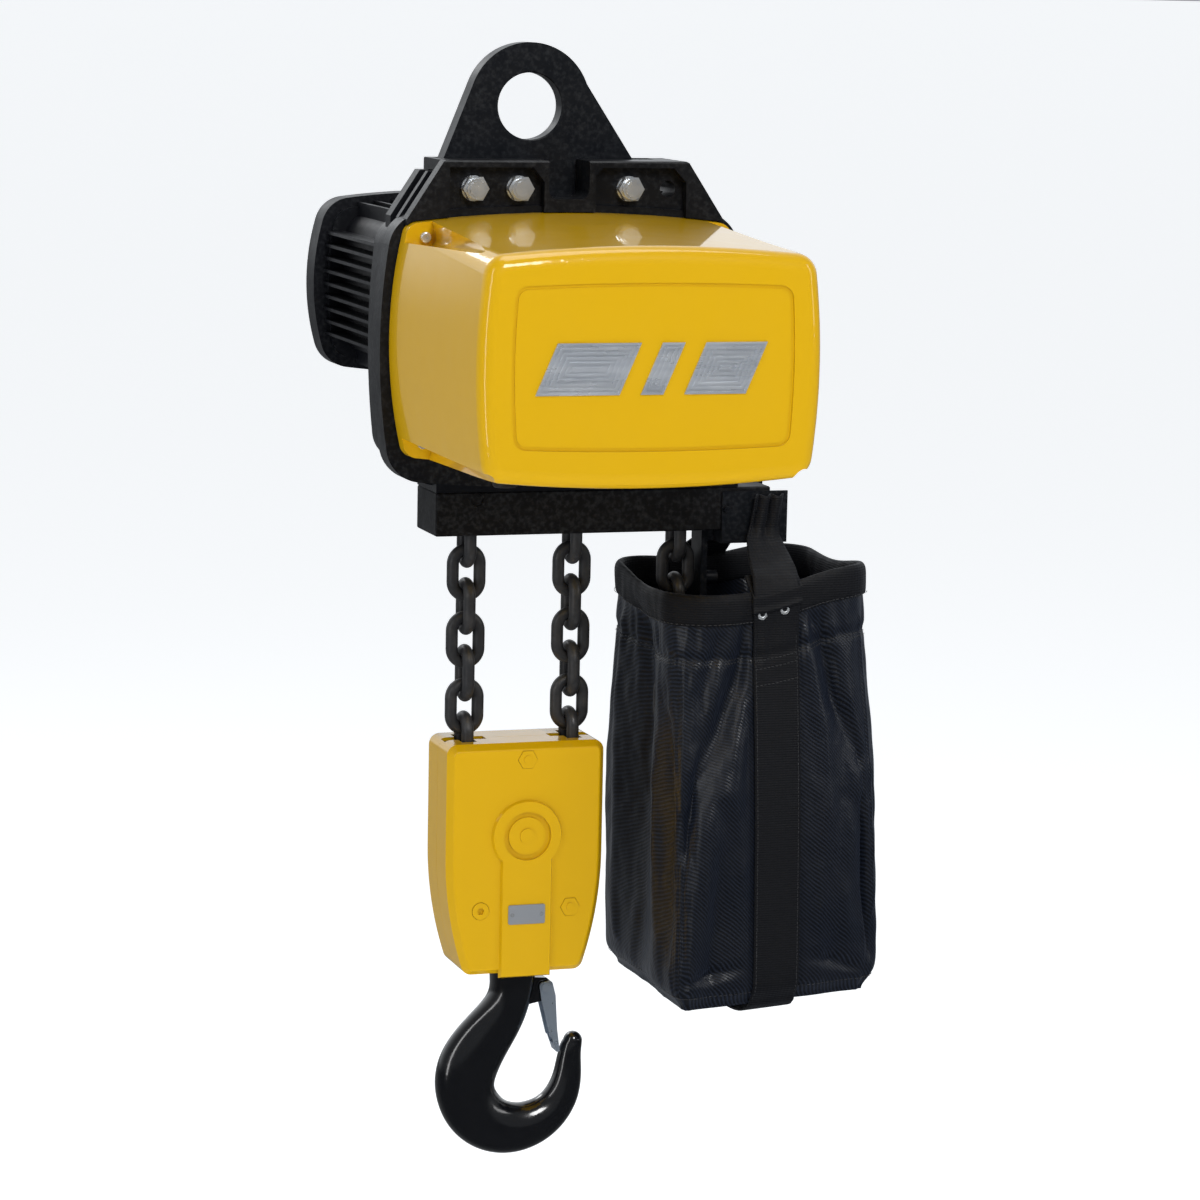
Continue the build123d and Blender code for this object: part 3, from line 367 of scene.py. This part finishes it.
# Folds: side and place along it, depth down the bag at both ends, width and height in metres.
# Sides count 0 front, 1 right, 2 back, 3 left; a place of 0.3 on the front is 0.3, on the right 1.3.
FOLDS = (
    (0.36, 0.08, 0.04, 0.60, 0.012, -0.0085),
    (0.33, 0.26, 0.08, 0.98, 0.015, 0.0050),
    (0.26, 0.50, 0.22, 0.97, 0.008, -0.0040),
    (0.12, 0.10, 0.10, 0.34, 0.008, -0.0045),
    (0.74, 0.10, 0.87, 0.44, 0.009, -0.0065),
    (0.66, 0.12, 0.74, 0.80, 0.011, 0.0045),
    (0.86, 0.55, 0.97, 0.90, 0.009, -0.0065),
    (0.80, 0.55, 0.84, 0.98, 0.008, 0.0030),
    (0.66, 0.90, 0.95, 0.96, 0.006, -0.0035),
    (0.05, 0.93, 0.33, 0.90, 0.006, -0.0040),
    (1.50, 0.04, 1.50, 0.97, 0.026, -0.0120),
    (1.78, 0.10, 1.70, 0.85, 0.011, 0.0040),
    (1.22, 0.15, 1.30, 0.92, 0.010, 0.0045),
    (2.20, 0.08, 2.32, 0.70, 0.011, -0.0065),
    (2.76, 0.10, 2.64, 0.95, 0.012, -0.0060),
    (2.86, 0.30, 2.84, 0.95, 0.009, 0.0035),
    (3.52, 0.04, 3.50, 0.97, 0.026, -0.0130),
    (3.76, 0.16, 3.72, 0.95, 0.011, 0.0045),
    (3.88, 0.30, 3.84, 0.88, 0.008, -0.0035),
    (3.24, 0.12, 3.28, 0.90, 0.010, 0.0040),
)


def around_rim(corners, place, sag=0.0):
    side = int(place) % 4
    t = place - int(place)
    return mix(corners[side], corners[(side + 1) % 4], smooth(t)) - sag * math.sin(math.pi * t) ** 2


def corner_radius(depth):
    return mix(TOP_CORNER, FOOT_CORNER, smooth(depth * 1.8))


def section_point(place, depth):
    """Point and outward direction on the bag's plain outline: a rounded rectangle that widens downwards."""
    half_x = mix(TOP_HALF_X, FOOT_HALF_X, smooth(depth))
    half_y = mix(TOP_HALF_Y, FOOT_HALF_Y, smooth(depth * 1.6))
    radius = corner_radius(depth)
    middle_x = mix(TOP_X, FOOT_X, depth)
    side = int(place) % 4
    t = place - int(place)
    flat_x, flat_y = half_x - radius, half_y - radius
    corners = ((-flat_x, -flat_y), (flat_x, -flat_y), (flat_x, flat_y), (-flat_x, flat_y))
    if t < CORNER_END:
        corner, turn = side, mix(0.5, 1.0, t / CORNER_END)
    elif t > 1 - CORNER_END:
        corner, turn = side + 1, mix(0.0, 0.5, (t - 1 + CORNER_END) / CORNER_END)
    else:
        corner = None
    if corner is None:
        start, end = corners[side], corners[(side + 1) % 4]
        s = (t - CORNER_END) / (1 - 2 * CORNER_END)
        angle = math.radians(-90 + 90 * side)
        x, y = mix(start[0], end[0], s), mix(start[1], end[1], s)
    else:
        angle = math.radians(-180 + 90 * corner + 90 * turn)
        x, y = corners[corner % 4]
    out = Vector((math.cos(angle), math.sin(angle), 0))
    return Vector((middle_x + x, y, 0)) + out * radius, out


BAG_HEIGHT = 0.40
SIDE_WIDTH = 0.2            # a side's rounded width, which turns a place into metres
FOLD_STRENGTH = 1.35
FOLD_REACH = 0.12           # folds further off than this do nothing
SEAM_DEPTH = 0.145          # the sewn line under the hem


def fold_height(place, depth):
    """How far the cloth stands out of its plain outline."""
    side = int(place) % 4
    x = place * SIDE_WIDTH
    z = depth * BAG_HEIGHT
    free = smooth(depth / 0.12) * (1 - 0.6 * smooth((depth - 0.9) / 0.1))
    height = 0.0
    for place0, depth0, place1, depth1, width, rise in FOLDS:
        for lap in (-4, 0, 4):
            ax, az = (place0 + lap) * SIDE_WIDTH, depth0 * BAG_HEIGHT
            bx, bz = (place1 + lap) * SIDE_WIDTH, depth1 * BAG_HEIGHT
            if abs(x - ax) > FOLD_REACH and abs(x - bx) > FOLD_REACH:
                continue
            dx, dz = bx - ax, bz - az
            t = min(max(((x - ax) * dx + (z - az) * dz) / (dx * dx + dz * dz), 0.0), 1.0)
            wander = 0.006 * noise.noise(Vector((place0 * 7, t * 3, 1.7)))
            gap = math.hypot(x - ax - dx * t - wander, z - az - dz * t)
            fade = math.sin(math.pi * mix(0.12, 0.88, t)) ** 0.7
            height += FOLD_STRENGTH * rise * fade * math.exp(-((gap / width) ** 2))
    angle = math.pi / 2 * place
    round_x, round_y = math.cos(angle), math.sin(angle)
    height += 0.0030 * noise.noise(Vector((round_x * 3.6, round_y * 3.6, depth * 2.2)))
    height += 0.0022 * noise.noise(Vector((round_x * 9.0, round_y * 9.0, depth * 3.4 + 5)))
    height += 0.0010 * noise.noise(Vector((round_x * 20.0, round_y * 20.0, depth * 16 + 9)))
    height += 0.0050 * math.sin(math.pi * (place - int(place))) * smooth(depth * 1.4)
    if side in (0, 2):
        point, _ = section_point(place, depth)
        from_strap = abs(point.x - STRAP_X - 0.005 * depth) - STRAP_HALF
        height = mix(0.0022 * smooth(depth * 3), height, smooth(from_strap / 0.012))
    height *= free
    pucker = math.exp(-(((depth - SEAM_DEPTH) / 0.012) ** 2))
    height -= 0.0016 * pucker
    near_seam = math.exp(-(((depth - 0.12) / 0.05) ** 2))
    height += 0.0011 * near_seam * math.sin(place * 61 + 2 * math.sin(place * 17))
    return height


def bag_point(place, depth, lift=0.0):
    """Point of the cloth, at a place around it and from 0 at the rim to 1 at the bottom seam."""
    place %= 4
    point, out = section_point(place, depth)
    seam = abs((place + 0.5) % 1 - 0.5)
    ridge = 0.0016 * math.exp(-((seam / 0.010) ** 2)) * smooth((depth - 0.08) / 0.05)
    tuck = 0.011 * smooth((depth - 0.93) / 0.07) ** 2
    point += out * (fold_height(place, depth) + ridge - tuck + lift)
    rim = around_rim(RIM, place, HEM_SAG)
    foot = around_rim(FOOT, place)
    point.z = mix(rim, foot, depth)
    return point


def floor_point(place, inward, lift=0.0):
    """Point of the sagging bottom, from 0 at its seam to 1 in its middle."""
    edge = bag_point(place, 1.0, lift * (1 - inward))
    middle = Vector((FOOT_X, 0.0, sum(FOOT) / 4))
    point = edge.lerp(middle, inward)
    wrinkle = 0.0022 * noise.noise(Vector((point.x * 45, point.y * 45, 3)))
    point.z -= BOTTOM_SAG * (1 - (1 - inward) ** 2) + wrinkle * smooth(inward * 4) + lift
    return point


def chain_bag():
    """The cloth: four sides from the rim down and the bottom, closed in its middle."""
    places = [4 * j / AROUND for j in range(AROUND)]
    verts = [bag_point(p, i / DOWN) for i in range(DOWN + 1) for p in places]
    verts += [floor_point(p, i / FLOOR_RINGS) for i in range(1, FLOOR_RINGS) for p in places]
    faces = grid_faces(DOWN + FLOOR_RINGS, AROUND, closed=True)
    last = (DOWN + FLOOR_RINGS - 1) * AROUND
    verts.append(floor_point(0, 1.0))
    faces += [(last + j, last + (j + 1) % AROUND, len(verts) - 1) for j in range(AROUND)]
    bag = mesh_object("bag_cloth", verts, faces, MATERIALS["bag_fabric"], "housing")
    solid(bag, CLOTH_T)
    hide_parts("chain_bag")


def bag_hem():
    """The rim's doubled edge, rolled over the cloth."""
    profile = [(0.0012, 0.066), (0.0030, 0.062), (0.0036, 0.040), (0.0040, 0.012), (0.0034, 0.000),
               (0.0012, -0.009), (-0.0016, -0.011), (-0.0044, -0.006), (-0.0054, 0.012), (-0.0050, 0.040),
               (-0.0036, 0.062), (-0.0024, 0.066)]
    verts = []
    for j in range(AROUND):
        place = 4 * j / AROUND
        plump = 1 + 0.25 * noise.noise(Vector((math.cos(place * 1.571) * 7, math.sin(place * 1.571) * 7, 0)))
        for out, depth in profile:
            point = bag_point(place, max(depth, 0.0), out * plump)
            point.z -= min(depth, 0.0) * BAG_HEIGHT
            verts.append(point)
    n = len(profile)
    faces = []
    for j in range(AROUND):
        k = (j + 1) % AROUND
        for i in range(n):
            m = (i + 1) % n
            faces.append((j * n + i, k * n + i, k * n + m, j * n + m))
    hem = mesh_object("bag_hem", verts, faces, MATERIALS["webbing"], "housing")
    rounder = hem.modifiers.new("rounder", "SUBSURF")
    rounder.levels = rounder.render_levels = 1


def strap_place(side, across, depth):
    """Place around the bag of a point of the strap, across from -1 at its left to 1 at its right."""
    x = STRAP_X + 0.006 * depth + across * STRAP_HALF
    half_x = mix(TOP_HALF_X, FOOT_HALF_X, smooth(depth))
    left = mix(TOP_X, FOOT_X, depth) - half_x
    right = left + 2 * half_x
    radius = corner_radius(depth)
    s = (x - left - radius) / (right - left - 2 * radius)
    t = CORNER_END + s * (1 - 2 * CORNER_END)
    return t if side < 0 else 3 - t


STRAP_COLUMNS = 16


def strap_rows(side, lift):
    """Rows of the strap from its bar fixing down to the bottom seam, on the front or the back."""
    rows = []
    top = ((-0.0378, -0.353), (-0.0378, -0.370), (-0.0385, -0.384), (-0.0430, -0.392), (-0.0570, -0.4005),
           (-0.0730, -0.4085), (-0.0890, -0.4165), (-0.1010, -0.4235))
    steps = 6
    for i in range((len(top) - 1) * steps):
        a, b = top[i // steps], top[i // steps + 1]
        t = (i % steps) / steps
        y, z = mix(a[0], b[0], t), mix(a[1], b[1], t)
        down = i / ((len(top) - 1) * steps)
        width = mix(0.66, 1.0, smooth(down * 1.3 - 0.2))
        pleat = 0.0030 * (1 - smooth(down * 1.25)) + 0.0004
        row = []
        for j in range(STRAP_COLUMNS + 1):
            across = 2 * j / STRAP_COLUMNS - 1
            wave = math.sin(across * 7.5 + 0.8 * math.sin(down * 5)) * pleat
            x = STRAP_X + 0.014 * (1 - down) + across * STRAP_HALF * width
            row.append(Vector((x, -side * (y - 0.4 * pleat + wave - lift * 0.8), z + 0.3 * wave)))
        rows.append(row)
    for i in range(0, 121):
        depth = i / 120
        rows.append([bag_point(strap_place(side, 2 * j / STRAP_COLUMNS - 1, depth), depth,
                               lift + 0.0042 * math.exp(-((depth / 0.07) ** 2)))
                     for j in range(STRAP_COLUMNS + 1)])
    return rows


def bag_strap():
    """One webbing strap from the bar, down the front, under the bag and up its back."""
    front = strap_rows(-1, STRAP_LIFT)
    back = strap_rows(1, STRAP_LIFT)
    under = []
    a, b = front[-1], back[-1]
    for i in range(1, 30):
        t = i / 30
        row = []
        for j in range(STRAP_COLUMNS + 1):
            point = a[j].lerp(b[j], t)
            point.z -= (BOTTOM_SAG + 0.003) * (1 - (2 * t - 1) ** 4) + 0.002
            row.append(point)
        under.append(row)
    rows = front + under + back[::-1]
    verts = [p for row in rows for p in row]
    strap = mesh_object("bag_strap", verts, grid_faces(len(rows), STRAP_COLUMNS + 1), MATERIALS["webbing"],
                        "housing")
    solid(strap, STRAP_T, 1.0)
    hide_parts("bag_straps")


def strap_patch(side, name):
    """The turned-over end of the strap, sewn and riveted at the rim."""
    rows = []
    for i in range(-13, 10):
        depth = max(i, 0) / 9 * 0.040
        bulge = 0.0042 + 0.0022 * math.exp(-(((i - 8) / 1.6) ** 2))
        row = []
        for j in range(STRAP_COLUMNS + 1):
            across = 1.07 * (2 * j / STRAP_COLUMNS - 1)
            hump = 0.0042 * math.exp(-((depth / 0.07) ** 2))
            point = bag_point(strap_place(side, across, depth), depth, bulge + hump)
            if i < 0:
                point.y -= side * i * -0.0019
                point.z += -i * 0.00135
            row.append(point)
        rows.append(row)
    verts = [p for row in rows for p in row]
    patch = mesh_object(name, verts, grid_faces(len(rows), STRAP_COLUMNS + 1), MATERIALS["webbing"],
                        "housing")
    solid(patch, 0.0030, -1.0)
    edge = patch.modifiers.new("edge", "BEVEL")
    edge.width = 0.0008
    edge.segments = 2
    edge.limit_method = "ANGLE"


def stitch_verts(point, along, out, length, radius, verts, faces):
    """One raised stitch: a little six-sided bead."""
    side = along.cross(out).normalized()
    first = len(verts)
    for step, size in ((-0.5, 0.35), (-0.28, 1.0), (0.28, 1.0), (0.5, 0.35)):
        for k in range(6):
            angle = math.pi / 3 * k
            verts.append(point + along * (length * step) + (side * math.cos(angle) + out * math.sin(angle))
                         * radius * size)
    faces.extend(grid_faces(4, 6, closed=True, first=first))
    faces.append(tuple(first + k for k in range(6)))
    faces.append(tuple(first + 23 - k for k in range(6)))


def bag_stitching():
    """Stitches along the hem, the seams and both edges of the strap."""
    verts, faces = [], []
    rows = [(0.060, 0.0040), (0.150, 0.0005), (0.158, 0.0005), (0.966, 0.0006)]
    for depth, lift in rows:
        count = 190
        for i in range(count):
            place = 4 * i / count
            here = bag_point(place, depth, lift)
            ahead = bag_point(place + 0.004, depth, lift)
            _, out = section_point(place % 4, depth)
            stitch_verts(here, (ahead - here).normalized(), out, 0.0030, 0.00034, verts, faces)
    for side in (-1, 1):
        for depth in (0.155, 0.175, 0.215):
            for i in range(11):
                across = mix(-0.86, 0.86, i / 10)
                here = bag_point(strap_place(side, across, depth), depth, 0.0038)
                stitch_verts(here, Vector((1, 0, 0)), Vector((0, side, 0)), 0.0028, 0.00036, verts, faces)
        for i in range(90):
            depth = mix(0.12, 0.98, i / 89)
            for across in (-0.9, 0.9):
                here = bag_point(strap_place(side, across, depth), depth, 0.0037)
                stitch_verts(here, Vector((0, 0, 1)), Vector((0, side, 0)), 0.0030, 0.00032, verts, faces)
    mesh_object("bag_stitching", verts, faces, THREAD, "housing")


def lathe(profile, centre, axis, steps, verts, faces):
    """Turns (radius, height) points about an axis through centre."""
    axis = axis.normalized()
    side = axis.orthogonal().normalized()
    other = axis.cross(side)
    first = len(verts)
    for radius, height in profile:
        for k in range(steps):
            angle = 2 * math.pi * k / steps
            verts.append(centre + axis * height + (side * math.cos(angle) + other * math.sin(angle)) * radius)
    faces.extend(grid_faces(len(profile), steps, closed=True, first=first))
    faces.append(tuple(first + k for k in range(steps)))
    faces.append(tuple(first + (len(profile) - 1) * steps + k for k in range(steps)))


RIVET_DEPTH = 0.045         # down the bag, as a share of its height


def bag_rivets():
    """Pressed snap rivets through the strap, dished in the middle."""
    verts, faces = [], []
    profile = [(0.0046, -0.0010), (0.0047, 0.0004), (0.0044, 0.0011), (0.0036, 0.0015), (0.0026, 0.0014),
               (0.0018, 0.0010), (0.0006, 0.0009), (0.0001, 0.0009)]
    for side in (-1, 1):
        for shift in (-0.52, 0.46):
            here = bag_point(strap_place(side, shift - 0.12, RIVET_DEPTH), RIVET_DEPTH, 0.0052)
            lathe(profile, here, Vector((0, side, 0.05)), 28, verts, faces)
    rivets = mesh_object("bag_snap_rivets", verts, faces, MATERIALS["zinc_steel"], "housing")
    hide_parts("bag_rivets")


def link_mesh(wire, half_long, half_wide, steps=24, round_steps=8):
    """One stadium-shaped chain link, long along X and flat in X and Y."""
    line = []
    straight = half_long - half_wide
    for k in range(steps):
        angle = 2 * math.pi * k / steps
        x = math.cos(angle) * half_wide + (straight if math.cos(angle) >= 0 else -straight)
        out = Vector((math.cos(angle), math.sin(angle), 0))
        line.append((Vector((x, math.sin(angle) * half_wide, 0)), out))
    verts = []
    for point, out in line:
        for k in range(round_steps):
            angle = 2 * math.pi * k / round_steps
            across, up = math.cos(angle) * wire / 2, math.sin(angle) * wire / 2
            verts.append(point + out * across + Vector((0, 0, up)))
    return verts, grid_faces(steps, round_steps, closed=True), steps, round_steps


CHAIN_WIRE = 0.0112
CHAIN_PITCH = 0.031
LINK_HALF_LONG, LINK_HALF_WIDE = 0.0211, 0.0127     # to the middle of the wire
HEAP_LAYERS = ((5, 0.0), (5, 0.020), (4, 0.041), (3, 0.062))     # rows of chain and the layer's height
HEAP_RISE = 0.021           # the lowest layer's middle, above the CAD heap's underside


def stored_chain():
    """The slack chain, lying in rows in the bottom of the bag."""
    low, high = (Vector(v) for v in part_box("stored_chain"))
    unit, unit_faces, steps, round_steps = link_mesh(CHAIN_WIRE, LINK_HALF_LONG, LINK_HALF_WIDE)
    closing = [((steps - 1) * round_steps + k, (steps - 1) * round_steps + (k + 1) % round_steps,
                (k + 1) % round_steps, k) for k in range(round_steps)]
    rng = random.Random(11)
    verts, faces = [], []
    for rows, rise in HEAP_LAYERS:
        room_y = (high.y - low.y) / 2 - 0.020 - rise * 0.45
        room_x = (high.x - low.x) / 2 - 0.022 - rise * 0.35
        for r in range(rows):
            y = mix(-room_y, room_y, r / (rows - 1))
            links = int(2 * room_x / CHAIN_PITCH) + 1
            start = (low.x + high.x) / 2 - (links - 1) * CHAIN_PITCH / 2 + rng.uniform(-0.003, 0.003)
            for i in range(links):
                x = start + i * CHAIN_PITCH
                wander = 0.004 * math.sin(i * 1.7 + r * 2.1 + rise * 90)
                z = low.z + HEAP_RISE + rise + 0.002 * rng.random()
                roll = math.radians(45 if i % 2 else -45) + rng.uniform(-0.15, 0.15)
                turn = Matrix.Rotation(0.14 * math.cos(i * 1.7 + r), 4, "Z") @ Matrix.Rotation(roll, 4, "X")
                first = len(verts)
                place = Vector((x, y + wander, z))
                verts.extend(place + (turn @ v) for v in unit)
                faces.extend(tuple(first + k for k in face) for face in unit_faces + closing)
    heap = mesh_object("stored_chain_links", verts, faces, MATERIALS["chain_steel"], "housing")
    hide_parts("stored_chain")


chain_bag()
bag_hem()
bag_strap()
strap_patch(-1, "strap_patch_front")
strap_patch(1, "strap_patch_back")
bag_stitching()
bag_rivets()
stored_chain()


# ---------------------------------------------------------------- stage
FLOOR_Z = -1.30
FLOOR_SIZE = 8000.0


def stage():
    """A pale floor, so wide that it fills nearly all of the view behind the hoist."""
    bpy.ops.mesh.primitive_plane_add(size=FLOOR_SIZE, location=(0, 0, FLOOR_Z))
    floor = bpy.context.object
    floor.name = "floor"
    m = Mat("pale_floor", (0.80, 0.805, 0.81), 0.8, spec=0.1)
    m.set("Emission Color", (0.97, 0.985, 1.0, 1))
    m.set("Emission Strength", 0.62)
    floor.data.materials.append(m.material)
    floor.visible_glossy = False


def area_light(name, location, target, size, power, size_y=None):
    """A white panel that faces its target."""
    data = bpy.data.lights.new(name, "AREA")
    data.energy = power
    data.shape = "RECTANGLE"
    data.size = size
    data.size_y = size_y or size
    made = bpy.data.objects.new(name, data)
    made.location = location
    aim = Vector(target) - Vector(location)
    made.rotation_euler = aim.to_track_quat("-Z", "Y").to_euler()
    bpy.context.collection.objects.link(made)


def soft_step(tree, source, low, high, start, end):
    """Goes smoothly from start to end while source goes from low to high."""
    made = tree.nodes.new("ShaderNodeMapRange")
    made.interpolation_type = "SMOOTHSTEP"
    for socket, value in zip(("From Min", "From Max", "To Min", "To Max"), (low, high, start, end)):
        made.inputs[socket].default_value = value
    tree.links.new(source, made.inputs["Value"])
    return made


def studio_world():
    """Dim in front and below the horizon, bright behind the hoist like a lit backdrop."""
    world = bpy.data.worlds.new("studio")
    world.use_nodes = True
    tree = world.node_tree
    coords = tree.nodes.new("ShaderNodeTexCoord")
    split = tree.nodes.new("ShaderNodeSeparateXYZ")
    tree.links.new(coords.outputs["Generated"], split.inputs[0])
    behind = soft_step(tree, split.outputs["Y"], -0.1, 0.95, 0.16, 1.0)
    above = soft_step(tree, split.outputs["Z"], -0.05, 0.10, 0.22, 1.0)
    both = tree.nodes.new("ShaderNodeMath")
    both.operation = "MULTIPLY"
    tree.links.new(behind.outputs[0], both.inputs[0])
    tree.links.new(above.outputs[0], both.inputs[1])
    background = tree.nodes["Background"]
    background.inputs["Color"].default_value = (0.93, 0.965, 1.0, 1)
    tree.links.new(both.outputs[0], background.inputs["Strength"])
    bpy.context.scene.world = world


LIT_POINT = (0.05, -0.05, -0.45)        # near the hoist's middle


def lights():
    """Soft panels in front, at both sides, behind and overhead, with their size in metres and watts."""
    area_light("key", (0.3, -3.4, 2.0), LIT_POINT, 1.2, 66)
    area_light("left", (-2.9, -1.8, 0.3), LIT_POINT, 0.45, 18, size_y=3.0)
    area_light("right", (2.6, -1.7, 0.6), LIT_POINT, 0.5, 9, size_y=2.0)
    area_light("back_left", (-1.0, 2.8, 1.5), LIT_POINT, 1.0, 14)
    area_light("top", (0.2, -0.2, 2.4), LIT_POINT, 1.6, 28)


LENS_MM = 120.0
SENSOR_MM = 36.0
CAMERA_PLACE = (-1.0632, -3.4733, 0.1102)
CAMERA_YAW = math.radians(18.2)
CAMERA_PITCH = math.radians(8.76)
CAMERA_ROLL = math.radians(1.156)


def camera():
    """Long lens from the front left, looking a little down, rolled by the hoist's slight lean."""
    data = bpy.data.cameras.new("camera")
    data.lens = LENS_MM
    data.sensor_width = SENSOR_MM
    made = bpy.data.objects.new("camera", data)
    made.location = CAMERA_PLACE
    level = math.cos(CAMERA_PITCH)
    forward = Vector((math.sin(CAMERA_YAW) * level, math.cos(CAMERA_YAW) * level, -math.sin(CAMERA_PITCH)))
    turn = forward.to_track_quat("-Z", "Y").to_matrix().to_4x4()
    made.matrix_world = Matrix.Translation(made.location) @ turn @ Matrix.Rotation(CAMERA_ROLL, 4, "Z")
    bpy.context.collection.objects.link(made)
    bpy.context.scene.camera = made


bpy.context.scene.view_settings.view_transform = "Standard"
stage()
studio_world()
lights()
camera()
